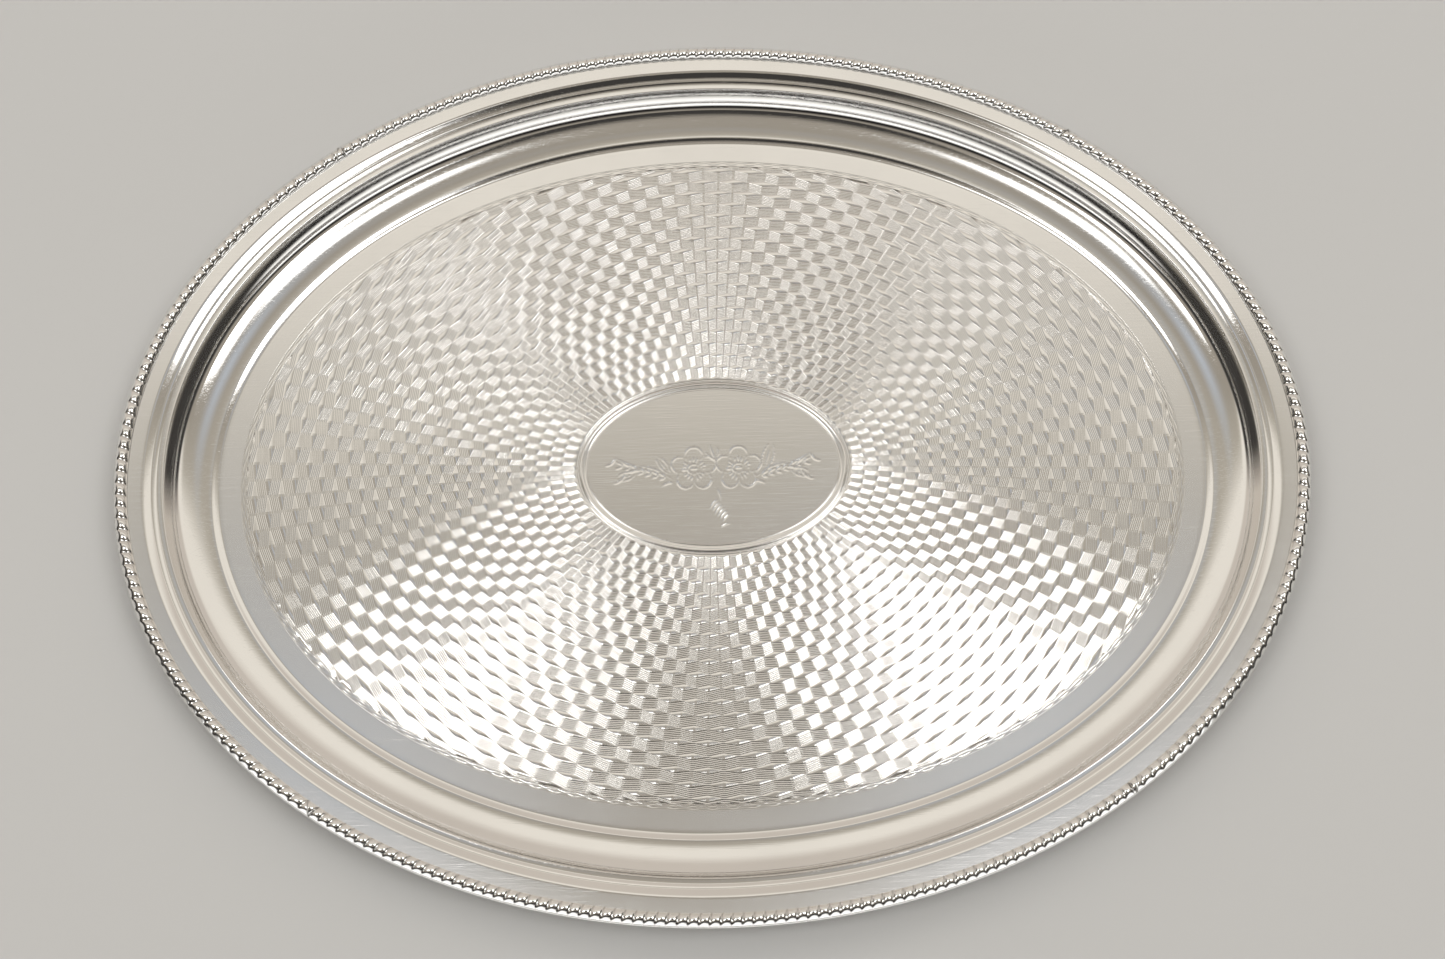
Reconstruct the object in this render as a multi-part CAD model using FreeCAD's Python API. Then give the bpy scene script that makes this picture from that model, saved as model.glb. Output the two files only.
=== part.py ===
import FreeCAD, Part
import math
import os

# Oval silver-plated salver: one pressed sheet with a gadroon border in four
# lengths soldered on its rim.  Millimetres.  The origin is the centre of the
# underside, +X runs along the long axis and +Z up out of the well.
#
# Every ring of the salver is an ellipse of one family: moving inwards by an
# inset k turns the outline (HALF_LENGTH, HALF_WIDTH) into
# (HALF_LENGTH - k, HALF_WIDTH - k).  A section is therefore a list of (k, z).

# Outline and sheet
HALF_LENGTH = 200.0
HALF_WIDTH = 156.7
SHEET = 1.2                 # thickness of the pressed sheet
RIM_TOP = 15.4              # top of the flat rim above the table

# Section of the pressed sheet, as insets from the outline
SHOULDER_START = 9.2        # where the flat rim ends
SHOULDER_END = 10.5
SHOULDER_DROP = 0.4
LEDGE_END = 15.6            # inner edge of the sloping ledge, a crisp line
LEDGE_DROP = 2.6            # that edge below the rim top
WALL_DEG = 77.0             # slope where the steep wall meets its fillet
FILLET = 5.0                # radius of the fillet at the foot of the wall
DISH_DEG = 22.0             # slope where the fillet meets the dish
DISH = 28.5                 # radius of the shallow dish that the fillet runs into
DISH_END_DEG = 3.0
STEP_START = 29.0           # the dish ends here in a small step down
STEP_END = 31.2             # foot of the step: the flat floor begins
STEP_HEIGHT = 0.85

# Border of gadroon strip
BORDER_OUTER = 0.2          # insets of its two edges
BORDER_INNER = 4.5
BORDER_EDGE = 0.6           # height of its upright outer edge
BORDER_HEIGHT = 2.3
SOLDER = 0.1                # solder film between rim and border
JOINT_X = 130.0             # the four butt joints lie at x = +-JOINT_X
JOINT_GAP = 0.4             # solder in each butt joint

ARC_STEPS = 8               # ellipses lofted through for a rounded stretch


def ring_wire(inset, z):
    """The closed ellipse of the family at one inset and height."""
    ellipse = Part.Ellipse(
        FreeCAD.Vector(0, 0, z), HALF_LENGTH - inset, HALF_WIDTH - inset
    )
    return Part.Wire([ellipse.toShape()])


def band(points):
    """The surface through the ellipses of a stretch of section."""
    (first_inset, first_z), (last_inset, last_z) = points[0], points[-1]
    if len(points) == 2 and abs(first_z - last_z) < 1e-9:
        wide = ring_wire(min(first_inset, last_inset), first_z)
        narrow = ring_wire(max(first_inset, last_inset), first_z)
        return Part.makeFace([wide, narrow], "Part::FaceMakerBullseye")
    wires = [ring_wire(inset, z) for inset, z in points]
    ruled = len(points) == 2
    return Part.makeLoft(wires, False, ruled)


def arc(centre, radius, start_deg, end_deg):
    """Points (k, z) on a circle of the section; 0 degrees is +k, 90 is +z."""
    points = []
    for step in range(ARC_STEPS + 1):
        share = step / ARC_STEPS
        angle = math.radians(start_deg + (end_deg - start_deg) * share)
        inset = centre[0] + radius * math.cos(angle)
        height = centre[1] + radius * math.sin(angle)
        points.append((inset, height))
    return points


def closed_solid(surfaces):
    """One solid whose skin is the given surfaces, edge to edge."""
    faces = []
    for surface in surfaces:
        faces.extend(surface.Faces)
    shell = Part.makeShell(faces)
    shell.sewShape()
    solid = Part.makeSolid(shell)
    solid.fix(1e-4, 1e-4, 1e-3)
    if solid.Volume < 0:
        solid.reverse()
    return solid


def well(lower):
    """Points (k, z) of the fillet and the dish, moved off their face by the given depth.

    Both are arcs about centres above the sheet, tangent to one another.  They
    are laid out backwards, from the edge of the step up to the foot of the wall.
    """
    dish_centre = (
        STEP_START + DISH * math.sin(math.radians(DISH_END_DEG)),
        SHEET + STEP_HEIGHT + DISH * math.cos(math.radians(DISH_END_DEG)),
    )
    gap = DISH - FILLET
    fillet_centre = (
        dish_centre[0] - gap * math.sin(math.radians(DISH_DEG)),
        dish_centre[1] - gap * math.cos(math.radians(DISH_DEG)),
    )
    fillet = arc(fillet_centre, FILLET + lower, 270.0 - WALL_DEG, 270.0 - DISH_DEG)
    dish = arc(dish_centre, DISH + lower, 270.0 - DISH_DEG, 270.0 - DISH_END_DEG)
    return fillet, dish


def tray_body():
    """The pressed sheet: rim, shoulder, ledge, wall, dish, step and flat floor."""
    shoulder_low = RIM_TOP - SHOULDER_DROP
    ledge_low = (LEDGE_END, RIM_TOP - LEDGE_DROP)
    fillet, dish = well(0.0)
    step_slope = math.atan2(STEP_HEIGHT, STEP_END - STEP_START)

    top = [
        [(0.0, RIM_TOP), (SHOULDER_START, RIM_TOP)],
        [(SHOULDER_START, RIM_TOP), (SHOULDER_END, shoulder_low)],
        [(SHOULDER_END, shoulder_low), ledge_low],
        [ledge_low, fillet[0]],
        fillet,
        dish,
        [dish[-1], (STEP_END, SHEET)],
    ]

    # underside: the same section, one sheet thickness lower
    fillet_under, dish_under = well(SHEET)
    rim_under = RIM_TOP - SHEET
    ledge_slope = math.atan2(LEDGE_DROP - SHOULDER_DROP, LEDGE_END - SHOULDER_END)
    wall_slope = math.atan2(ledge_low[1] - fillet[0][1], fillet[0][0] - ledge_low[0])
    rim_corner = (SHOULDER_END - SHEET * math.tan(ledge_slope / 2), rim_under)
    turn = SHEET / math.cos((wall_slope - ledge_slope) / 2)
    lean = (wall_slope + ledge_slope) / 2
    ledge_corner = (
        ledge_low[0] - turn * math.sin(lean),
        ledge_low[1] - turn * math.cos(lean),
    )
    step_foot = (STEP_END - SHEET * math.tan(step_slope / 2), 0.0)
    under = [
        [(0.0, rim_under), rim_corner],
        [rim_corner, ledge_corner],
        [ledge_corner, fillet_under[0]],
        fillet_under,
        dish_under,
        [dish_under[-1], step_foot],
    ]

    surfaces = [band(points) for points in top + under]
    surfaces.append(band([(0.0, rim_under), (0.0, RIM_TOP)]))
    surfaces.append(Part.Face(ring_wire(STEP_END, SHEET)))
    surfaces.append(Part.Face(ring_wire(step_foot[0], 0.0)))
    return closed_solid(surfaces)


def solder_film():
    """The thin film of solder that holds the whole border on the rim."""
    low = RIM_TOP
    high = RIM_TOP + SOLDER
    surfaces = [
        band([(BORDER_OUTER, low), (BORDER_INNER, low)]),
        band([(BORDER_OUTER, high), (BORDER_INNER, high)]),
        band([(BORDER_OUTER, low), (BORDER_OUTER, high)]),
        band([(BORDER_INNER, low), (BORDER_INNER, high)]),
    ]
    return closed_solid(surfaces)


def border_ring():
    """The envelope of the gadroon strip, once round the rim."""
    base = RIM_TOP + SOLDER
    edge = base + BORDER_EDGE
    crown = base + BORDER_HEIGHT
    middle = (BORDER_OUTER + BORDER_INNER) / 2
    half = (BORDER_INNER - BORDER_OUTER) / 2
    crown_points = []
    for step in range(2 * ARC_STEPS + 1):
        angle = math.pi * step / (2 * ARC_STEPS)
        inset = middle - half * math.cos(angle)
        height = edge + (crown - edge) * math.sin(angle)
        crown_points.append((inset, height))
    surfaces = [
        band([(BORDER_OUTER, base), (BORDER_INNER, base)]),
        band([(BORDER_OUTER, base), (BORDER_OUTER, edge)]),
        band(crown_points),
        band([(BORDER_INNER, base), (BORDER_INNER, edge)]),
    ]
    return closed_solid(surfaces)


def cutter(x_low, x_high, y_low, y_high):
    """A block over the rim between the given x and y."""
    return Part.makeBox(
        x_high - x_low,
        y_high - y_low,
        4 * BORDER_HEIGHT,
        FreeCAD.Vector(x_low, y_low, RIM_TOP - BORDER_HEIGHT),
    )


def border_lengths(ring):
    """The four lengths of strip, named by where they lie."""
    reach = HALF_LENGTH + 10.0
    inner = JOINT_X - JOINT_GAP / 2
    outer = JOINT_X + JOINT_GAP / 2
    blocks = {
        "border_length_back": cutter(-inner, inner, 0.0, reach),
        "border_length_front": cutter(-inner, inner, -reach, 0.0),
        "border_length_left": cutter(-reach, -outer, -reach, reach),
        "border_length_right": cutter(outer, reach, -reach, reach),
    }
    return {name: ring.common(block) for name, block in blocks.items()}


def border_butt_joints(ring):
    """The four solder joints where one length of strip meets the next."""
    reach = HALF_LENGTH + 10.0
    joints = []
    for side in (-1, 1):
        low = side * JOINT_X - JOINT_GAP / 2
        slab = cutter(low, low + JOINT_GAP, -reach, reach)
        joints.extend(ring.common(slab).Solids)
    return Part.makeCompound(joints)


def save(name, shape):
    """Write one named piece and say what it is."""
    shape.exportStep("parts/" + name + ".step")
    box = shape.BoundBox
    print(
        f"{name}: {len(shape.Solids)} solid(s), {shape.Volume / 1000:.2f} cm3, "
        f"{box.XLength:.1f} x {box.YLength:.1f} x {box.ZLength:.2f}, "
        f"z {box.ZMin:.2f}..{box.ZMax:.2f}, valid {shape.isValid()}"
    )


os.makedirs("parts", exist_ok=True)
ring = border_ring()
save("tray_body", tray_body())
save("border_solder_film", solder_film())
for name, length in border_lengths(ring).items():
    save(name, length)
save("border_butt_joints", border_butt_joints(ring))
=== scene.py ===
# %% [markdown]
# # An oval silver-plated salver
# The salver is one pressed oval sheet, a well with a raised rim, and a strip of
# gadroon border that comes in four lengths and is soft-soldered round the rim.
# The floor is engine-turned: bands of wavy lines run round a small oval
# cartouche, which is engraved with a flower spray.  The frame holds the plain
# pieces at their real size.  Each cell below builds one surface or one finish.

import math

import bpy
import numpy as np
from mathutils import Matrix, Vector


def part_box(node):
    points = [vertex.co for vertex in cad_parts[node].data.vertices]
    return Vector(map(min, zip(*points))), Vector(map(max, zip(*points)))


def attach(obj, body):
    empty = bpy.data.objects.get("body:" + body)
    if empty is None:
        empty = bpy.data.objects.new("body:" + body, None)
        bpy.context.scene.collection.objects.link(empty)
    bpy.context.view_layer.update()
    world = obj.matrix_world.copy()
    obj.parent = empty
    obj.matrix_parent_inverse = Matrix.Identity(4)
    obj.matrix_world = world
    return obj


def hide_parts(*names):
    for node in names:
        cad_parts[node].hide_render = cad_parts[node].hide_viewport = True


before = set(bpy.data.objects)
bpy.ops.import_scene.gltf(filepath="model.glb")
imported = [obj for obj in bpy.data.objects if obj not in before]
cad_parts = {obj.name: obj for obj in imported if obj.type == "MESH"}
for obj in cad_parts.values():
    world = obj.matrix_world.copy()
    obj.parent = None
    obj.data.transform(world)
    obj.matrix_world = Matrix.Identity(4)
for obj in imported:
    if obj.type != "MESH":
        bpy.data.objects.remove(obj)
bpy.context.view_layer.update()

# %% [markdown]
# ## Sizes
# Every ring of the salver belongs to one family of ovals: an inset k turns the
# outline (half length, half width) into (half length - k, half width - k).  So
# the whole sheet is a list of insets and heights, as a spinner's chuck drawing
# is.  Lengths are in millimetres here and become metres in the meshes.

# %% Sizes read from the frame, and the section's own sizes
MM = 0.001
sheet_low, sheet_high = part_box("tray_body")
HALF_LENGTH = sheet_high.x / MM
HALF_WIDTH = round(sheet_high.y / MM, 1)
RIM_TOP = sheet_high.z / MM
SHEET = 1.2                # thickness of the sheet
SHOULDER = (9.2, 10.5)     # insets where the flat rim rounds over
SHOULDER_DROP = 0.4
LEDGE_END = 15.6           # crisp line at the foot of the sloping ledge
LEDGE_DROP = 2.6
WALL_DEG = 77.0            # the steep wall meets its fillet at this slope
FILLET, DISH = 5.0, 28.5   # radii of the fillet and of the shallow dish after it
DISH_DEG = (22.0, 3.0)     # slopes where the dish begins and ends
STEP = (29.0, 31.2)        # a small step leads down to the flat floor
STEP_HEIGHT = 0.85
CHAIN = (38.8, 40.7)       # insets of the engraved chain round the floor
print("outline", round(HALF_LENGTH, 2), "x", HALF_WIDTH, "mm, rim top", round(RIM_TOP, 2))

# %% [markdown]
# ## Camera
# The salver is seen from above its front edge, about twenty degrees off the
# vertical, and turned a little.  The camera stands a little to the left of the
# middle and looks at a point just in front of the centre.

# %% Camera
LENS = 47.43
CAMERA_PLACE = Vector((-3.9, -227.3, 611.6)) * MM
CAMERA_TARGET = Vector((3.0, -5.0, 1.2)) * MM
CAMERA_ROLL = math.radians(0.13)

camera = bpy.data.objects.new("camera", bpy.data.cameras.new("camera"))
bpy.context.scene.collection.objects.link(camera)
camera.data.lens = LENS
look = (CAMERA_TARGET - CAMERA_PLACE).to_track_quat("-Z", "Y").to_matrix().to_4x4()
camera.matrix_world = Matrix.Translation(CAMERA_PLACE) @ look @ Matrix.Rotation(CAMERA_ROLL, 4, "Z")
bpy.context.scene.camera = camera
print("camera", round((CAMERA_TARGET - CAMERA_PLACE).length, 3), "m from the salver")

# %% [markdown]
# ## From arrays to pieces
# A metal shell is easiest to keep closed when it is a sweep: a loop of section
# points goes round the oval and comes back to itself.  The helpers below number
# the faces of such a sweep, and put points and faces into a mesh.


# %% Helpers for sweeps and meshes
def sweep_faces(sections, loop, closed):
    """Quads between neighbouring sections, numbered section * loop + place in the loop.

    Sections run counter-clockwise seen from above, and the loop runs inwards on
    top and outwards underneath, so the faces point out.  An open sweep gets its
    two end caps.
    """
    here = np.arange(sections if closed else sections - 1)[:, None] * loop
    there = (here + loop) % (sections * loop)
    one = np.arange(loop)[None, :]
    two = (one + 1) % loop
    faces = np.stack([here + one, there + one, there + two, here + two], -1)
    faces = faces.reshape(-1, 4).tolist()
    if not closed:
        last = (sections - 1) * loop
        faces += [list(range(loop)), list(range(last + loop - 1, last - 1, -1))]
    return faces


def new_piece(name, points, faces, finish, nodes, marks=None):
    """A mesh piece from points in millimetres, riding on the salver and standing for CAD nodes.

    marks holds named values, one per point, that the finish reads.
    """
    mesh = bpy.data.meshes.new(name)
    mesh.from_pydata((np.asarray(points).reshape(-1, 3) * MM).tolist(), [], faces)
    mesh.shade_smooth()
    for mark, values in (marks or {}).items():
        layer = mesh.attributes.new(mark, "FLOAT", "POINT")
        layer.data.foreach_set("value", np.asarray(values, np.float32).ravel())
    mesh.materials.append(finish)
    piece = bpy.data.objects.new(name, mesh)
    bpy.context.scene.collection.objects.link(piece)
    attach(piece, "root")
    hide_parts(*nodes)
    triangles = sum(len(face) - 2 for face in faces)
    print(name, len(mesh.vertices), "points,", triangles, "triangles")
    return piece


def oval(inset, height, angles):
    """Points of the family at an inset and height.

    x and y are the half axes, less the inset, times the cosine and the sine of the angle.
    """
    inset, height, angles = np.broadcast_arrays(inset, height, angles)
    across = (HALF_LENGTH - inset) * np.cos(angles)
    along = (HALF_WIDTH - inset) * np.sin(angles)
    return np.stack([across, along, height], -1)


# %% [markdown]
# ## Finishes
# Silver plate has one colour and many surfaces.  Spun walls are buffed to a
# mirror, the flats are left satin and gather hairline scratches, and hollows
# of the border are darkened with painted shade and a little tarnish.  Two
# effects are shared by all of them, so each is a node group: hairline scratches
# and a faint, uneven haze.


# %% Small helpers for node trees
def link(tree, source, target):
    tree.links.new(source, target)


def math_node(tree, operation, first, second=None, clamp=False):
    """A Math node whose inputs are numbers or sockets; returns its output."""
    node = tree.nodes.new("ShaderNodeMath")
    node.operation = operation
    node.use_clamp = clamp
    for place, value in enumerate(v for v in (first, second) if v is not None):
        if isinstance(value, (int, float)):
            node.inputs[place].default_value = value
        else:
            link(tree, value, node.inputs[place])
    return node.outputs[0]


def blend_node(tree, kind, factor, first, second):
    """A Mix node of colours or floats; inputs are values or sockets; returns its output."""
    node = tree.nodes.new("ShaderNodeMix")
    node.data_type = kind
    wanted = {"RGBA": (0, 6, 7, 2), "FLOAT": (0, 2, 3, 0)}[kind]
    for place, value in zip(wanted[:3], (factor, first, second)):
        if isinstance(value, (int, float, tuple)):
            node.inputs[place].default_value = value
        else:
            link(tree, value, node.inputs[place])
    return node.outputs[wanted[3]]


def new_group(name, inputs, outputs):
    """An empty shader group with float inputs {name: value}, a Vector input, and named outputs."""
    group = bpy.data.node_groups.new(name, "ShaderNodeTree")
    group.interface.new_socket("Vector", in_out="INPUT", socket_type="NodeSocketVector")
    for key, value in inputs.items():
        socket = group.interface.new_socket(key, in_out="INPUT", socket_type="NodeSocketFloat")
        socket.default_value = value
    for key in outputs:
        group.interface.new_socket(key, in_out="OUTPUT", socket_type="NodeSocketFloat")
    return group, group.nodes.new("NodeGroupInput"), group.nodes.new("NodeGroupOutput")


# %% [markdown]
# Hairline scratches are very long and very thin, and run every way.  A noise
# that is stretched sixty times along one direction looks like a brushing in
# that direction, so three such noises at uneven angles, with only their peaks
# kept, look like years of wiping and stacking.


# %% Hairline scratches
WIPING_WAYS = ((0.35, 1.0), (1.45, 0.8), (2.5, 0.9))   # turn in radians and share of each noise
STRETCH = 60.0


def make_scratch_group():
    """Height of fine scratches: peaks of three long stretched noises turned to three angles, added up."""
    group, given, made = new_group("hairline_scratches", {"Scale": 60.0, "Sharpness": 0.6}, ["Height"])
    total = None
    for turn, share in WIPING_WAYS:
        place = group.nodes.new("ShaderNodeMapping")
        place.inputs["Rotation"].default_value = (0.0, 0.0, turn)
        place.inputs["Scale"].default_value = (1.0, STRETCH, STRETCH)
        link(group, given.outputs["Vector"], place.inputs["Vector"])
        noise = group.nodes.new("ShaderNodeTexNoise")
        noise.inputs["Detail"].default_value = 2.0
        link(group, place.outputs[0], noise.inputs["Vector"])
        link(group, given.outputs["Scale"], noise.inputs["Scale"])
        peak = math_node(group, "SUBTRACT", noise.outputs[0], given.outputs["Sharpness"], clamp=True)
        peak = math_node(group, "MULTIPLY", peak, share)
        total = peak if total is None else math_node(group, "ADD", total, peak)
    link(group, total, made.inputs["Height"])
    return group


def make_haze_group():
    """Uneven film of wear: one broad noise with fine detail, from 0 where bright to 1 where dull."""
    group, given, made = new_group("uneven_haze", {"Scale": 14.0}, ["Haze"])
    broad = group.nodes.new("ShaderNodeTexNoise")
    broad.inputs["Detail"].default_value = 4.0
    broad.inputs["Roughness"].default_value = 0.65
    link(group, given.outputs["Vector"], broad.inputs["Vector"])
    link(group, given.outputs["Scale"], broad.inputs["Scale"])
    spread = math_node(group, "SUBTRACT", broad.outputs[0], 0.35)
    link(group, math_node(group, "MULTIPLY", spread, 3.0, clamp=True), made.inputs["Haze"])
    return group


SCRATCHES = make_scratch_group()
HAZE = make_haze_group()
print("groups:", [group.name for group in bpy.data.node_groups])

# %% [markdown]
# A finish is then one function: a roughness where it is bright, one where it is
# dull, and how deep the scratches are.  What differs over a piece (satin or
# polished, open or hidden, where hidden hollows get painted shade) comes from a mark on its points.


# %% Silver finish
SILVER = (0.94, 0.93, 0.91, 1.0)
# The dark grey is tarnish for the haze, and painted shade with a little tarnish for the border's hollows.
TARNISH_AND_SHADE_GREY = (0.26, 0.25, 0.24, 1.0)


HAZE_DULLS, MARK_DULLS = 0.25, 0.75      # shares of the way from polished to satin
# The haze share darkens with tarnish; the second share darkens the border's hollows with painted shade and a
# little tarnish.
HAZE_DARKENS, TARNISH_AND_SHADE_DARKENS = 0.06, 0.4   # shares of the way from silver to tarnish


def silver_finish(name, polished, satin, scratch_depth, satin_mark=None, tarnish_and_shade_mark=None):
    """Silver plate: a metal whose roughness and colour vary over the piece.

    Roughness goes from polished to satin by a share of the haze plus a share
    of the satin mark.  The colour goes from silver to a dark grey by a share of
    the haze, which is tarnish, plus a share of the hollow mark, which is painted
    shade with a little tarnish.  Scratches are a bump.
    """
    material = bpy.data.materials.new(name)
    material.use_nodes = True
    tree = material.node_tree
    shader = tree.nodes["Principled BSDF"]
    shader.inputs["Metallic"].default_value = 1.0
    place = tree.nodes.new("ShaderNodeTexCoord").outputs["Object"]
    haze = tree.nodes.new("ShaderNodeGroup")
    haze.node_tree = HAZE
    link(tree, place, haze.inputs["Vector"])
    scratches = tree.nodes.new("ShaderNodeGroup")
    scratches.node_tree = SCRATCHES
    link(tree, place, scratches.inputs["Vector"])
    share = math_node(tree, "MULTIPLY", haze.outputs["Haze"], HAZE_DULLS)
    if satin_mark:
        mark = tree.nodes.new("ShaderNodeAttribute")
        mark.attribute_name = satin_mark
        share = math_node(tree, "ADD", math_node(tree, "MULTIPLY", mark.outputs["Fac"], MARK_DULLS), share)
    link(tree, blend_node(tree, "FLOAT", share, polished, satin), shader.inputs["Roughness"])
    film = math_node(tree, "MULTIPLY", haze.outputs["Haze"], HAZE_DARKENS)
    # Painted shade: the mark darkens the colour where it is set, with a little tarnish.
    if tarnish_and_shade_mark:
        mark = tree.nodes.new("ShaderNodeAttribute")
        mark.attribute_name = tarnish_and_shade_mark
        tarnish_and_shade = math_node(tree, "MULTIPLY", mark.outputs["Fac"], TARNISH_AND_SHADE_DARKENS)
        film = math_node(tree, "ADD", film, tarnish_and_shade, clamp=True)
    link(tree, blend_node(tree, "RGBA", film, SILVER, TARNISH_AND_SHADE_GREY), shader.inputs["Base Color"])
    bump = tree.nodes.new("ShaderNodeBump")
    bump.inputs["Strength"].default_value = 1.0
    bump.inputs["Distance"].default_value = scratch_depth * MM
    link(tree, scratches.outputs["Height"], bump.inputs["Height"])
    link(tree, bump.outputs["Normal"], shader.inputs["Normal"])
    return material


SHEET_FINISH = silver_finish("pressed_silver_plate", 0.06, 0.2, 0.02, satin_mark="satin")
FIELD_FINISH = silver_finish("engine_turned_silver", 0.12, 0.18, 0.01)
CARTOUCHE_FINISH = silver_finish("cartouche_silver", 0.16, 0.26, 0.03)
# The hollow mark paints shade, with a little tarnish, into the valleys between the lobes.
BORDER_FINISH = silver_finish("gadroon_silver", 0.10, 0.2, 0.01, tarnish_and_shade_mark="hollow")

# %% [markdown]
# Soft solder stays grey and waxy beside silver plate.  It is a tin alloy, so it
# keeps its own colour, a coarser grain and a broad, dull shine.


# %% Soft solder
TIN_BRIGHT = (0.62, 0.61, 0.59, 1.0)
TIN_DULL = (0.40, 0.39, 0.37, 1.0)


def solder_finish():
    """Tin solder: a grey metal with a grainy bump and a roughness that follows the haze."""
    material = bpy.data.materials.new("soft_solder")
    material.use_nodes = True
    tree = material.node_tree
    shader = tree.nodes["Principled BSDF"]
    shader.inputs["Metallic"].default_value = 1.0
    place = tree.nodes.new("ShaderNodeTexCoord").outputs["Object"]
    haze = tree.nodes.new("ShaderNodeGroup")
    haze.node_tree = HAZE
    haze.inputs["Scale"].default_value = 400.0
    link(tree, place, haze.inputs["Vector"])
    tint = blend_node(tree, "RGBA", haze.outputs["Haze"], TIN_BRIGHT, TIN_DULL)
    link(tree, tint, shader.inputs["Base Color"])
    link(tree, blend_node(tree, "FLOAT", haze.outputs["Haze"], 0.35, 0.6), shader.inputs["Roughness"])
    bump = tree.nodes.new("ShaderNodeBump")
    bump.inputs["Distance"].default_value = 0.03 * MM
    link(tree, haze.outputs["Haze"], bump.inputs["Height"])
    link(tree, bump.outputs["Normal"], shader.inputs["Normal"])
    return material


SOLDER_FINISH = solder_finish()
for node in ("border_solder_film", "border_butt_joints"):
    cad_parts[node].data.materials.clear()
    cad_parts[node].data.materials.append(SOLDER_FINISH)
print("finishes:", [material.name for material in bpy.data.materials])

# %% [markdown]
# ## The pressed sheet
# Real salvers are pressed or spun over an oval chuck, so the section is the
# same all the way round: a flat rim, a rounded shoulder, a sloping ledge with
# two fine creases, a crisp line, a steep wall with a fillet at its foot, a
# shallow dish, a small step and the flat floor.
# It could be a curve object with a bevel, but a section times an oval is one
# multiplication and its points fall exactly where the creases are.


# %% Section of the sheet
def well(lower, steps):
    """Fillet and dish as two arcs tangent to one another, moved down their own normal by the given depth.

    Both centres lie above the sheet.  A point of an arc is the centre plus the
    radius times (-sin, -cos) of the slope there.
    """
    start, end = np.radians(DISH_DEG)
    dish_centre = np.array([STEP[0] + DISH * math.sin(end), SHEET + STEP_HEIGHT + DISH * math.cos(end)])
    fillet_centre = dish_centre - (DISH - FILLET) * np.array([math.sin(start), math.cos(start)])
    fillet_slope = np.linspace(math.radians(WALL_DEG), start, steps)
    dish_slope = np.linspace(start, end, steps)[1:]
    fillet = fillet_centre - (FILLET + lower) * np.stack([np.sin(fillet_slope), np.cos(fillet_slope)], -1)
    dish = dish_centre - (DISH + lower) * np.stack([np.sin(dish_slope), np.cos(dish_slope)], -1)
    return np.vstack([fillet, dish])


def section_top():
    """Inset and height of the upper side, from the outer edge inwards."""
    edge = np.array([[0.45, RIM_TOP - SHEET], [0.12, RIM_TOP - 1.0], [0.0, RIM_TOP - 0.6],
                     [0.12, RIM_TOP - 0.15], [0.45, RIM_TOP], [4.4, RIM_TOP],
                     [SHOULDER[0] - 0.5, RIM_TOP], [SHOULDER[0] - 0.1, RIM_TOP]])
    step = np.linspace(0, 1, 7)[:, None]
    shoulder_foot = RIM_TOP - SHOULDER_DROP
    slope = (LEDGE_DROP - SHOULDER_DROP) / (LEDGE_END - SHOULDER[1])
    round_over = np.hstack([SHOULDER[0] + step * (SHOULDER[1] - SHOULDER[0]),
                            RIM_TOP - SHOULDER_DROP * (0.3 * step + 0.7 * step ** 2)])
    creases = []
    for inset in (12.0, 13.7):
        level = shoulder_foot - slope * (inset - SHOULDER[1])
        creases += [[inset - 0.2, level + 0.2 * slope], [inset - 0.06, level - 0.02],
                    [inset + 0.06, level - 0.12], [inset + 0.2, level - 0.2 * slope]]
    ledge_foot = RIM_TOP - LEDGE_DROP
    turn = np.linspace(-1, 1, 7)[:, None]
    crest = np.hstack([LEDGE_END - 0.2 + 0.2 * turn, ledge_foot + 0.06 - 0.06 * turn + 0.1 * (1 - turn ** 2)])
    hollow = well(0.0, 15)
    wall = crest[-1] + np.linspace(0, 1, 6)[1:-1, None] * (hollow[0] - crest[-1])
    top = SHEET + STEP_HEIGHT
    drop = STEP_HEIGHT * np.array([0.0, 0.03, 0.14, 0.5, 0.56, 0.66, 0.95, 1.0, 1.0])[:, None]
    along = np.array([0.02, 0.1, 0.22, 0.5, 0.56, 0.68, 0.97, 1.1, 1.3])[:, None]
    step_down = np.hstack([STEP[0] + along * (STEP[1] - STEP[0]), top - drop])
    band = np.array([[STEP[1] + 1.6, SHEET], [35.5, SHEET], [CHAIN[0] - 0.1, SHEET], [CHAIN[0], SHEET]])
    return np.vstack([edge, round_over, np.array(creases), crest, wall, hollow, step_down, band])


def section_under():
    """The under side, from the floor outwards: the plain section moved down by the thickness of the sheet."""
    ledge_slope = math.atan2(LEDGE_DROP - SHOULDER_DROP, LEDGE_END - SHOULDER[1])
    hollow, hollow_top = well(SHEET, 9), well(0.0, 2)[0]
    ledge_foot = RIM_TOP - LEDGE_DROP
    wall_slope = math.atan2(ledge_foot - hollow_top[1], hollow_top[0] - LEDGE_END)
    turn = SHEET / math.cos((wall_slope - ledge_slope) / 2)
    lean = (wall_slope + ledge_slope) / 2
    corner = [LEDGE_END - turn * math.sin(lean), ledge_foot - turn * math.cos(lean)]
    rim = np.array([[0.9, RIM_TOP - SHEET], [SHOULDER[0] - 0.4, RIM_TOP - SHEET],
                    [SHOULDER[1] - 0.3, RIM_TOP - SHEET - 0.1], corner])
    lower = np.vstack([rim, hollow, [[STEP[1] - 0.2, 0.0], [CHAIN[0], 0.0]]])
    return lower[::-1]


SECTION = np.vstack([section_top(), section_under()])
heights = SECTION[:, 1]
print("section:", len(SECTION), "points, heights", heights.min().round(2), "to", heights.max().round(2))

# %% [markdown]
# The flats are satin and the spun walls are polished.  The change happens over
# a millimetre, at the shoulder and at the foot of the small step, and is a mark
# on the points that the finish reads.

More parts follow.
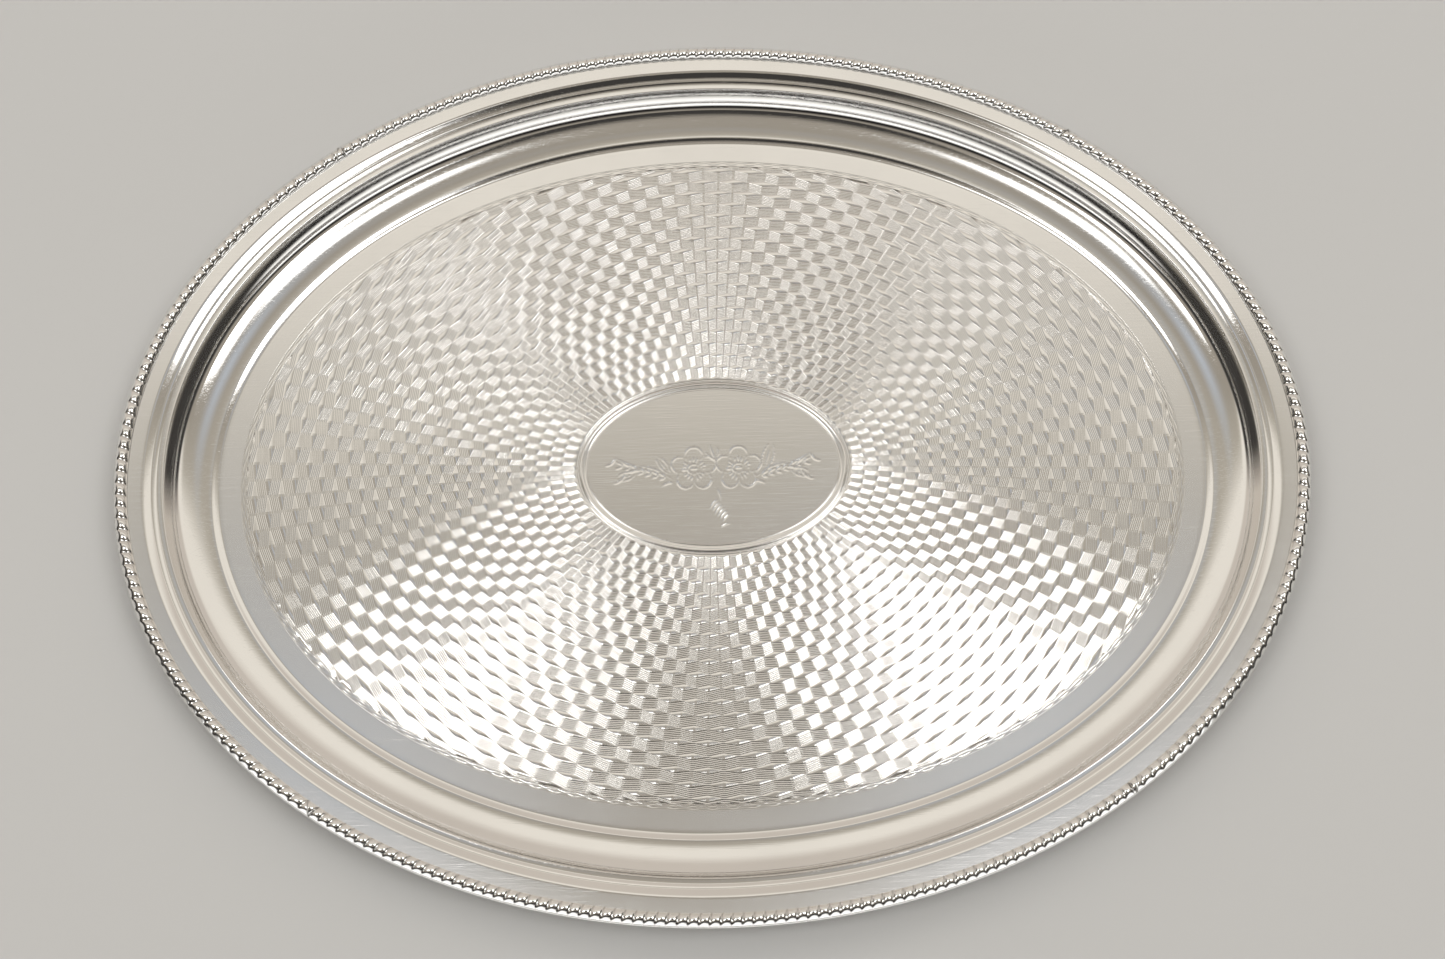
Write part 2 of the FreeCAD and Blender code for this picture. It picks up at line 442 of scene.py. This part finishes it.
# %% The sheet, swept round the oval
AROUND = 720
angles = np.linspace(0, 2 * np.pi, AROUND, endpoint=False)
sheet_points = oval(SECTION[None, :, 0], SECTION[None, :, 1], angles[:, None])
top_count = len(section_top())
satin = np.interp(SECTION[:, 0], [SHOULDER[0] - 0.6, SHOULDER[0], STEP[1] + 0.3, STEP[1] + 1.2], [1, 0, 0, 1])
satin[top_count:] = 1.0
new_piece("salver_sheet", sheet_points, sweep_faces(AROUND, len(SECTION), True), SHEET_FINISH,
          ["tray_body"], {"satin": np.broadcast_to(satin, (AROUND, len(SECTION)))})

# %% [markdown]
# ## The engine-turned floor
# A rose engine with an oval chuck cuts each line as one closed wavy oval.  The
# ovals keep the same difference between their half axes.  Six lines make a
# band, and the next band is shifted by half a wave, so the bright walls make a
# basket of facets.  Two more lines fill up the space beside the frame.  The
# corners of the wave are sharp, so four columns of points to a wave are
# enough, and the same columns serve every band.

# %% Sizes of the pattern
OVAL_SHIFT = 14.8          # half length less half width of every turned oval
FIELD_START = 31.0         # half width of the first one
BAND_START = 32.4          # where the first whole band begins
WAVES = 72
BAND_PITCH = 4.55
LINES = 6
FIRST_LINES = 2            # lines that fill up the space between the frame and the first band
LINE_PITCH = 0.61
GROOVE_DEPTH = 0.1
WAVE_HALF = 0.42           # half the height of a wave
WAVE_CORNERS = np.array([0.0, 0.42, 0.5, 0.92])
WAVE_LEVELS = np.array([-1.0, 1.0, 1.0, -1.0])
WAVE_START = math.radians(0.5)
FADE = 0.5                 # lines run out over this length at the chain
field_half_length = HALF_LENGTH - CHAIN[1]
field_half_width = HALF_WIDTH - CHAIN[1]
BANDS = math.ceil((field_half_length - OVAL_SHIFT - BAND_START) / BAND_PITCH)
print(BANDS, "bands of", LINES, "lines,", WAVES, "waves round")


# %% Rings and columns of the pattern
def ring_list():
    """Half width, depth and band sign of each ring of points.

    Four rings make a line, from its crest down to the bottom and halfway up
    again, and one more ring closes the band on the last crest.
    """
    lead = (BAND_PITCH - LINES * LINE_PITCH) / 2
    in_band = lead + LINE_PITCH / 4 * np.arange(4 * LINES + 1)
    depths = GROOVE_DEPTH * np.r_[np.tile([0.0, 0.5, 1.0, 0.5], LINES), 0.0]
    inner = BAND_START + BAND_PITCH * np.arange(BANDS)
    reach = (inner[:, None] + in_band).ravel()
    depth = np.tile(depths, BANDS)
    sign = np.repeat(np.where(np.arange(BANDS) % 2, -1.0, 1.0), len(in_band))
    opening = 4 * FIRST_LINES + 1
    first = np.linspace(FIELD_START, FIELD_START + FIRST_LINES * LINE_PITCH, opening)
    reach = np.r_[first, reach, reach[-1] + lead]
    return reach, np.r_[depths[:opening], depth, 0], np.r_[np.zeros(opening), sign, 0]


def column_angles():
    """Angles of the wave corners, four to a wave, all the way round, with the first one again at the end."""
    turns = (np.arange(WAVES)[:, None] + WAVE_CORNERS).ravel()
    return WAVE_START + np.r_[turns, WAVES] * 2 * np.pi / WAVES


def edge_reach(angle):
    """Half width of the turned oval that meets the edge of the field along a column.

    The column's point has to lie on the edge oval, which is a quadratic
    equation in the half width, and this is its positive root.
    """
    c, s = np.cos(angle) / field_half_length, np.sin(angle) / field_half_width
    a, b, d = c ** 2 + s ** 2, 2 * OVAL_SHIFT * c ** 2, (OVAL_SHIFT * c) ** 2 - 1
    return (-b + np.sqrt(b ** 2 - 4 * a * d)) / (2 * a)


# %% [markdown]
# The field is cut into quarters, because one mesh would be too heavy.  Each
# quarter is a closed slab as thick as the sheet.  Lines stop at the chain: a
# point past the edge is moved back onto it, and the faces that collapse there
# are left out.


# %% One quarter of the engraved field
def field_quarter(first, count):
    """Points and triangles of the slab between two columns.

    A point lies at half width r along its column: x is (r + shift) times the
    cosine and y is r times the sine.  r is the ring plus the wave, held inside
    the edge; the depth fades out there.
    """
    rings, depths, signs = ring_list()
    angle = column_angles()[first:first + count + 1]
    level = np.r_[np.tile(WAVE_LEVELS, WAVES), WAVE_LEVELS[0]][first:first + count + 1]
    limit = edge_reach(angle)
    reach = rings[:, None] + WAVE_HALF * signs[:, None] * level[None, :]
    held = reach >= limit - 0.02
    reach = np.where(held, limit, reach)
    spread = 1 + 0.12 * np.random.default_rng(first + 7).standard_normal(reach.shape).clip(-2, 2)
    drop = depths[:, None] * spread * np.clip((limit - reach) / FADE, 0, 1)
    top = np.stack([(reach + OVAL_SHIFT) * np.cos(angle), reach * np.sin(angle), SHEET - drop], -1)
    number = np.arange(reach.size).reshape(reach.shape)
    edge_ring = held.argmax(axis=0)
    number = np.where(held, number[edge_ring, np.arange(count + 1)], number)
    a, b = number[:-1, :-1], number[1:, :-1]
    c, d = number[1:, 1:], number[:-1, 1:]
    upper = np.concatenate([np.stack([a, b, c], -1).reshape(-1, 3), np.stack([a, c, d], -1).reshape(-1, 3)])
    inner, outer = number[0], number[edge_ring, np.arange(count + 1)]
    left_end = number[:edge_ring[0] + 1, 0]
    right_end = number[:edge_ring[-1] + 1, -1]
    below = top.size // 3
    under = top * np.array([1, 1, 0.0])
    rim = [(inner[:-1], inner[1:]), (outer[1:], outer[:-1]),
           (left_end[1:], left_end[:-1]), (right_end[:-1], right_end[1:])]
    walls = []
    for start, stop in rim:
        walls.append(np.stack([start, stop, stop + below], -1))
        walls.append(np.stack([start, stop + below, start + below], -1))
    i, o = inner[1:-1] + below, outer[1:-1] + below
    base = [np.stack([i[:-1], i[1:], o[1:]], -1), np.stack([i[:-1], o[1:], o[:-1]], -1)]
    for line, inn, out, turn in ((left_end, i[0], o[0], 1), (right_end, i[-1], o[-1], -1)):
        low = line + below
        fan = np.stack([low[1:], low[:-1], np.full(len(low) - 1, inn)], -1)
        base += [fan[:, ::turn], np.array([[low[-1], inn, out]])[:, ::turn]]
    faces = np.concatenate([upper, *walls, *base])
    solid = (faces[:, 0] != faces[:, 1]) & (faces[:, 1] != faces[:, 2]) & (faces[:, 2] != faces[:, 0])
    faces = faces[solid]
    used, compact = np.unique(faces, return_inverse=True)
    points = np.concatenate([top.reshape(-1, 3), under.reshape(-1, 3)])[used]
    column = np.tile(np.arange(count + 1), reach.shape[0] * 2)[used]
    return points, compact.reshape(-1, 3), column


QUARTERS = ("right_back", "left_back", "left_front", "right_front")
columns_each = WAVES * len(WAVE_CORNERS) // len(QUARTERS)
for place, quarter in enumerate(QUARTERS):
    points, faces, column = field_quarter(place * columns_each, columns_each)
    piece = new_piece("engraved_field_" + quarter, points, faces.tolist(), FIELD_FINISH,
                      ["tray_body"])
    ends = np.empty(len(piece.data.edges) * 2, np.int32)
    piece.data.edges.foreach_get("vertices", ends)
    ends = ends.reshape(-1, 2)
    crisp = piece.data.attributes.new("sharp_edge", "BOOLEAN", "EDGE")
    crisp.data.foreach_set("value", column[ends[:, 0]] == column[ends[:, 1]])

# %% [markdown]
# ## The chain
# Two wavy lines cross each other all the way round and close the pattern off.
# Their links have one length, so the wave follows the distance along the oval,
# and not the angle.


# %% Chain border of the floor
def even_angles(half_length, half_width, count, start=0.0, stop=2 * np.pi):
    """Angles at equal distances along an oval: the running length of short chords, read backwards."""
    fine = np.linspace(start, stop, 40001)
    steps = np.hypot(np.diff(half_length * np.cos(fine)), np.diff(half_width * np.sin(fine)))
    length = np.r_[0, np.cumsum(steps)]
    return np.interp(np.linspace(0, length[-1], count), length, fine), length[-1]


LINKS = 136
PER_LINK = 8
CHAIN_SWING = 0.5
CHAIN_GROOVE = 0.17
CHAIN_DEPTH = 0.06
middle = sum(CHAIN) / 2
link_angles, around = even_angles(HALF_LENGTH - middle, HALF_WIDTH - middle, LINKS * PER_LINK + 1)
link_angles = link_angles[:-1]
insets = np.linspace(CHAIN[0], CHAIN[1], 19)
swing = CHAIN_SWING * np.sin(np.arange(LINKS * PER_LINK) * np.pi / PER_LINK)
beside = insets[None, :] - middle
off_line = np.minimum(np.abs(beside - swing[:, None]), np.abs(beside + swing[:, None]))
heights = SHEET - CHAIN_DEPTH * np.clip(1 - off_line / CHAIN_GROOVE, 0, 1)
chain_top = oval(insets[None, :], heights, link_angles[:, None])
chain_under = oval(np.array([[CHAIN[1], CHAIN[0]]]), 0.0, link_angles[:, None])
chain_faces = sweep_faces(len(link_angles), len(insets) + 2, True)
new_piece("engraved_chain", np.concatenate([chain_top, chain_under], 1), chain_faces,
          FIELD_FINISH, ["tray_body"])
print("chain links of", round(around / LINKS, 2), "mm")

# %% [markdown]
# ## The cartouche
# The oval in the middle is left plain for an engraver, inside a frame of two
# fine lines.  The frame is a narrow sweep.  The plate inside is a height map:
# rows of points cross the oval, and each cut is a shallow groove whose depth
# depends on the distance to the cut's own curve.

# %% Frame of the cartouche
PLATE_HALF = (43.2, 28.2)
frame_outer = (FIELD_START + OVAL_SHIFT, FIELD_START)
FRAME_COLUMNS = 360
frame_share = np.array([0.0, 0.14, 0.17, 0.2, 0.24, 0.28, 0.31, 0.34, 0.5,
                        0.72, 0.75, 0.78, 0.82, 0.86, 0.89, 0.92, 1.0])
frame_height = np.array([0, 0, 0.04, 0.1, 0.12, 0.1, 0.04, 0, 0,
                         0, -0.05, -0.09, -0.1, -0.09, -0.05, 0, 0])
share = np.r_[frame_share, 1.0, 0.0][None, :, None]
around_frame = np.linspace(0, 2 * np.pi, FRAME_COLUMNS, endpoint=False)
ovals = (1 - share) * np.array(frame_outer) + share * np.array(PLATE_HALF)
flat = ovals * np.stack([np.cos(around_frame), np.sin(around_frame)], -1)[:, None, :]
rise = np.broadcast_to(np.r_[SHEET + frame_height, 0.0, 0.0][None, :, None], flat.shape[:2] + (1,))
frame_faces = sweep_faces(FRAME_COLUMNS, len(frame_share) + 2, True)
new_piece("cartouche_frame", np.concatenate([flat, rise], -1), frame_faces,
          CARTOUCHE_FINISH, ["tray_body"])


# %% Curves of the engraver's cuts
def bow(start, end, bulge, count=20):
    """A bowed stroke: a straight run pushed sideways by a parabola of that height."""
    step = np.linspace(0, 1, count)[:, None]
    start, end = np.array(start, float), np.array(end, float)
    side = np.array([start[1] - end[1], end[0] - start[0]]) / np.hypot(*(end - start))
    return start + (end - start) * step + side * bulge * 4 * step * (1 - step)


def arc(centre, radii, start, end, count=28):
    """A stretch of an oval about a centre, between two angles in degrees."""
    turn = np.radians(np.linspace(start, end, count))
    return np.array(centre) + np.array(radii) * np.stack([np.cos(turn), np.sin(turn)], -1)


def leaf(base, tip, width):
    """A leaf: two bows that part and meet again, and a short rib between them."""
    base, tip = np.array(base, float), np.array(tip, float)
    return [(bow(base, tip, width), 0.26), (bow(base, tip, -width), 0.26),
            (bow(base + 0.15 * (tip - base), base + 0.8 * (tip - base), 0.1), 0.16)]


def flower(centre):
    """Five petals drawn as arcs that overlap at their feet, short ribs, and an oval eye with a bar."""
    cuts = []
    for place in (90, 18, 162, 234, 306):
        turn = math.radians(place)
        heart = np.array(centre) + 5.0 * np.array([math.cos(turn), math.sin(turn)])
        cuts.append((arc(heart, (2.9, 2.9), place - 118, place + 118), 0.3))
        for lean in (-0.35, 0.0, 0.35):
            ray = np.array([math.cos(turn + lean), math.sin(turn + lean)])
            cuts.append((bow(np.array(centre) + 2.5 * ray, np.array(centre) + 4.3 * ray, 0.15), 0.15))
    cuts.append((arc(centre, (2.2, 1.7), 0, 360), 0.26))
    cuts.append((bow((centre[0] - 1.2, centre[1]), (centre[0] + 1.2, centre[1]), 0.1), 0.3))
    return cuts


def spray(side):
    """The leafy branch on one side, -1 left or 1 right.

    Stems fork outwards, small side leaves stand along them, and larger leaves hang below.
    """
    stems = [((14.5, -4.3), (26.5, 0.6), 1.2), ((26.5, 0.6), (33.2, 3.8), -0.5),
             ((33.2, 3.8), (37.3, 1.0), -0.8), ((22.5, -1.8), (30.0, -1.6), 0.8),
             ((30.0, -1.6), (35.2, -5.6), -1.2)]
    cuts = [(bow((side * a[0], a[1]), (side * b[0], b[1]), side * w), 0.34) for a, b, w in stems]
    for step in range(7):
        root = np.array([side * (16.5 + 2.4 * step), -3.7 + 0.75 * step])
        cuts.append((bow(root, root + [side * 2.3, 1.5], side * 0.25), 0.28))
        cuts.append((bow(root, root + [side * 2.6, -0.7], -side * 0.25), 0.28))
    cuts += leaf((side * 26.5, -2.0), (side * 33.5, -3.9), 1.4)
    cuts += [(bow((side * 33.2, 3.6), (side * 34.5, 1.6), side * 0.3), 0.26),
             (bow((side * 13.5, -5.6), (side * 18.0, -7.0), side * 0.4), 0.28)]
    return cuts


LEFT_FLOWER, RIGHT_FLOWER = (-6.6, -0.9), (8.7, -0.9)
cuts = flower(LEFT_FLOWER) + flower(RIGHT_FLOWER) + spray(-1) + spray(1)
cuts += leaf((-14.8, -2.6), (-19.6, 4.2), -1.3) + leaf((17.5, -2.4), (20.4, 8.8), 1.9)
cuts += [(bow((1.2, 1.8), (-0.8, 8.6), 0.5), 0.3), (bow((1.2, 1.8), (1.6, 7.0), -0.4), 0.26),
         (bow((1.2, 1.8), (-2.4, 5.0), 0.4), 0.26), (bow((1.1, -8.2), (2.2, -12.5), 0.3), 0.24)]
for n in range(6):
    cuts.append((bow((-1.6 + 0.9 * n, -15.4 - 0.9 * n), (1.4 + 0.75 * n, -12.0 - 1.1 * n), 0.2), 0.26))
cuts.append((bow((2.1, -22.0), (5.2, -20.9), 0.2), 0.26))
print(len(cuts), "engraved cuts")


# %% Plate of the cartouche
def cut_depth(x, y, strokes, depth):
    """How deep the tool went at each point: the deepest of all strokes there.

    A stroke is a V: depth times one minus the distance over its half width,
    and the half width swells as a sine along the stroke.
    """
    total = np.zeros(x.shape)
    for line, width in strokes:
        low, high = line.min(0) - 1.0, line.max(0) + 1.0
        near = (x > low[0]) & (x < high[0]) & (y > low[1]) & (y < high[1])
        gap = np.hypot(x[near][:, None] - line[:, 0], y[near][:, None] - line[:, 1])
        nearest = gap.argmin(1)
        swell = width * (0.35 + 0.65 * np.sin(np.pi * (nearest + 0.5) / len(line)))
        total[near] = np.maximum(total[near], depth * np.clip(1 - gap.min(1) / swell, 0, 1) * swell / width)
    return total


def plate_grid(rows, columns):
    """Points that fill an oval: rows cross it from end to end and shorten towards the two poles."""
    step = np.linspace(-1, 1, rows)
    y = PLATE_HALF[1] * np.sin(step * np.pi / 2 * 0.999)
    half = PLATE_HALF[0] * np.sqrt(1 - (y / PLATE_HALF[1]) ** 2)
    return half[:, None] * np.linspace(-1, 1, columns), np.repeat(y[:, None], columns, 1)


PLATE_ROWS, PLATE_COLUMNS = 231, 361
CUT_DEPTH = 0.17
x, y = plate_grid(PLATE_ROWS, PLATE_COLUMNS)
engraved = cut_depth(x, y, cuts, CUT_DEPTH)
top = np.stack([x, y, SHEET - engraved], -1)
number = np.arange(x.size).reshape(x.shape)
a, b, c, d = number[:-1, :-1], number[:-1, 1:], number[1:, 1:], number[1:, :-1]
upper = np.stack([a, b, c, d], -1).reshape(-1, 4)
border = np.r_[number[0], number[1:, -1], number[-1, -2::-1], number[-2:0:-1, 0]]
low = x.size + np.arange(len(border))
after = np.roll(np.arange(len(border)), -1)
walls = np.stack([border, low, low[after], border[after]], -1)
points = np.concatenate([top.reshape(-1, 3), top.reshape(-1, 3)[border] * [1, 1, 0]])
new_piece("cartouche_plate", points, upper.tolist() + walls.tolist() + [low[::-1].tolist()],
          CARTOUCHE_FINISH, ["tray_body"])

# %% [markdown]
# ## The gadroon border
# Gadroon strip is rolled in long lengths with a row of leaning lobes, cut to
# size, bent to the oval and soldered on.  One lobe is a small swelling between
# two sharp valleys, so the strip is a height over two parameters: the place
# along the lobe row, and the way across from the outer edge to the inner one.

# %% Section and lobes of the strip
LOBES_LONG, LOBES_SHORT = 81, 69
PER_LOBE = 8
BORDER_EDGES = (0.2, 4.5)   # insets of the strip's two edges
border_low, border_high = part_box("border_length_back")
SEAT = border_low.z / MM
STRIP_HEIGHT = (border_high.z - border_low.z) / MM
JOINT_X = border_high.x / MM
LEAN = 0.25                 # how far, in lobes, a valley leans across the strip
across_share = np.array([0.0, 0.0, 0.06, 0.16, 0.28, 0.42, 0.56, 0.7, 0.84, 0.94, 1.0, 1.0])
dome = np.array([0.0, 0.6, 0.87, 1.28, 1.78, 2.18, 2.3, 2.2, 1.8, 1.15, 0.5, 0.0])
dome *= STRIP_HEIGHT / dome.max()
valley = np.array([0.0, 0.0, 0.04, 0.15, 0.4, 0.85, 1.1, 1.1, 0.85, 0.5, 0.1, 0.0])
print("strip", round(STRIP_HEIGHT, 2), "mm high on a seat at", round(SEAT, 2), "mm")


def border_length(name, start, stop, lobes):
    """One length of strip between two angles.

    The height is the dome, less the depth of the valley times one minus the
    arch of the lobe, which is half a circle over the lobe's length.
    """
    middle = sum(BORDER_EDGES) / 2
    run, length = even_angles(HALF_LENGTH - middle, HALF_WIDTH - middle, lobes * PER_LOBE + 1, start, stop)
    place = np.arange(lobes * PER_LOBE + 1) / PER_LOBE
    arch = np.sqrt(np.clip(1 - (2 * (place % 1) - 1) ** 2, 0, 1))
    height = SEAT + dome - valley * (1 - arch[:, None])
    inset = BORDER_EDGES[0] + (BORDER_EDGES[1] - BORDER_EDGES[0]) * across_share
    per_lobe = (stop - start) / lobes
    lean = LEAN * per_lobe * (across_share - 0.5)
    points = oval(inset[None, :], height, run[:, None] + lean[None, :])
    # hollow is high in the lobe valleys; the finish turns it into painted shade with a little tarnish.
    hollow = np.clip(1 - 3.0 * arch[:, None], 0, 1) * np.clip(valley / 0.5, 0, 1)
    print("lobes of", round(length / lobes, 2), "mm")
    return new_piece(name, points, sweep_faces(len(run), len(inset), False), BORDER_FINISH,
                     [name.replace("gadroon", "border_length")], {"hollow": hollow})


joint = math.acos(JOINT_X / HALF_LENGTH)
border_length("gadroon_back", joint, math.pi - joint, LOBES_LONG)
border_length("gadroon_left", math.pi - joint, math.pi + joint, LOBES_SHORT)
border_length("gadroon_front", math.pi + joint, 2 * math.pi - joint, LOBES_LONG)
border_length("gadroon_right", -joint, joint, LOBES_SHORT)

# %% [markdown]
# ## Floor and light
# Polished silver shows its surroundings, so the studio is part of the finish: a
# pale wall behind, a dark band above a pale floor in front, a large softbox to
# the left and one to the right, two small ones overhead, and a dim shape in
# front where someone stands.

# %% Floor
floor_mesh = bpy.data.meshes.new("studio_floor")
reach = 6.0                # half the side of the floor, in metres
corners = [(-reach, -reach, 0), (reach, -reach, 0), (reach, reach, 0), (-reach, reach, 0)]
floor_mesh.from_pydata(corners, [], [(0, 1, 2, 3)])
floor = bpy.data.objects.new("studio_floor", floor_mesh)
bpy.context.scene.collection.objects.link(floor)
floor_finish = bpy.data.materials.new("pale_floor")
floor_finish.use_nodes = True
floor_shader = floor_finish.node_tree.nodes["Principled BSDF"]
floor_shader.inputs["Base Color"].default_value = (0.56, 0.555, 0.54, 1.0)
floor_shader.inputs["Roughness"].default_value = 0.8
floor_mesh.materials.append(floor_finish)


# %% Studio surroundings
def light(value):
    """A surrounding colour from three screen levels of 0 to 255, as linear light."""
    level = np.array(value) / 255
    return tuple(np.where(level <= 0.04045, level / 12.92, ((level + 0.055) / 1.055) ** 2.4)) + (1.0,)


TAUPE, WARM, CREAM = light((156, 149, 138)), light((176, 169, 157)), light((234, 228, 218))
BLACK, PALE, SAND = light((40, 38, 38)), light((238, 236, 232)), light((202, 193, 183))
FRONT_TO_BACK = [(-90, PALE), (-70, PALE), (-64, BLACK), (-50, BLACK), (-36, TAUPE), (14, TAUPE), (21, WARM),
                 (26, CREAM), (36, CREAM), (46, SAND), (90, SAND)]
# each panel: compass direction, tilt from the vertical, width, height (degrees), soft edge, colour, power
PANELS = [
    (-14, 27, 25, 22, 0.08, (255, 255, 255), 4.0),
    (197, 31, 21, 21, 0.10, (255, 255, 255), 4.0),
    (8, 10, 7, 9, 0.06, (255, 255, 255), 3.0),
    (172, 10, 7, 9, 0.06, (255, 255, 255), 3.0),
    (-90, 82, 130, 18, 0.10, (255, 255, 255), 1.25),
    (54, 16, 10, 10, 0.14, (240, 246, 255), 0.55),
    (133, 17, 10, 10, 0.14, (240, 246, 255), 0.55),
    (-90, 20, 24, 22, 0.10, (60, 58, 56), 1.0),
    (0, 84, 50, 40, 0.20, (60, 58, 56), 1.0),
    (180, 84, 50, 40, 0.20, (60, 58, 56), 1.0),
]


def panel_frame(compass, tilt):
    """Unit vectors of a panel: towards its middle, along its width, and up its height."""
    compass, tilt = math.radians(compass), math.radians(tilt)
    middle = Vector((math.cos(compass) * math.sin(tilt), math.sin(compass) * math.sin(tilt), math.cos(tilt)))
    width = Vector((-math.sin(compass), math.cos(compass), 0.0))
    return middle, width, middle.cross(width)


world = bpy.data.worlds.new("studio")
bpy.context.scene.world = world
world.use_nodes = True
sky = world.node_tree
backdrop = sky.nodes["Background"]
way = sky.nodes.new("ShaderNodeTexCoord").outputs["Generated"]
parts = sky.nodes.new("ShaderNodeSeparateXYZ")
link(sky, way, parts.inputs[0])
tilt = math_node(sky, "ARCTAN2", parts.outputs["Y"], parts.outputs["Z"])
ramp = sky.nodes.new("ShaderNodeValToRGB")
link(sky, math_node(sky, "ADD", math_node(sky, "DIVIDE", tilt, math.pi), 0.5), ramp.inputs["Fac"])
while len(ramp.color_ramp.elements) < len(FRONT_TO_BACK):
    ramp.color_ramp.elements.new(0.5)
for element, (degrees, colour) in zip(ramp.color_ramp.elements, FRONT_TO_BACK):
    element.position = (degrees + 90) / 180
    element.color = colour
glow = ramp.outputs["Color"]


def sky_dot(vector):
    """Dot product of the sky direction with a fixed vector."""
    node = sky.nodes.new("ShaderNodeVectorMath")
    node.operation = "DOT_PRODUCT"
    link(sky, way, node.inputs[0])
    node.inputs[1].default_value = vector
    return node.outputs["Value"]


for compass, tilt_down, width, height, soft, colour, power in PANELS:
    middle_way, width_way, height_way = panel_frame(compass, tilt_down)
    forward = math_node(sky, "MAXIMUM", sky_dot(middle_way), 0.01)
    inside = None
    for axis, size in ((width_way, width), (height_way, height)):
        off = math_node(sky, "ABSOLUTE", math_node(sky, "DIVIDE", sky_dot(axis), forward))
        edge = math_node(sky, "SUBTRACT", math.tan(math.radians(size / 2)) + soft / 2, off)
        within = math_node(sky, "DIVIDE", edge, soft, clamp=True)
        inside = within if inside is None else math_node(sky, "MULTIPLY", inside, within)
    glow = blend_node(sky, "RGBA", inside, glow, tuple(power * v for v in light(colour)[:3]) + (1.0,))
link(sky, glow, backdrop.inputs["Color"])
bpy.context.scene.view_settings.view_transform = "Standard"
print("panels of light and shade:", len(PANELS))

# %% [markdown]
# One large lamp above lights the pale floor evenly.  The salver doesn't mirror
# it, so it adds no spot to the silver.

# %% Fill light for the floor
fill = bpy.data.lights.new("floor_fill", "AREA")
fill.size = 3.0
fill.energy = 18.0
fill_object = bpy.data.objects.new("floor_fill", fill)
fill_object.location = (0.0, 0.3, 2.2)
fill_object.visible_glossy = False
bpy.context.scene.collection.objects.link(fill_object)
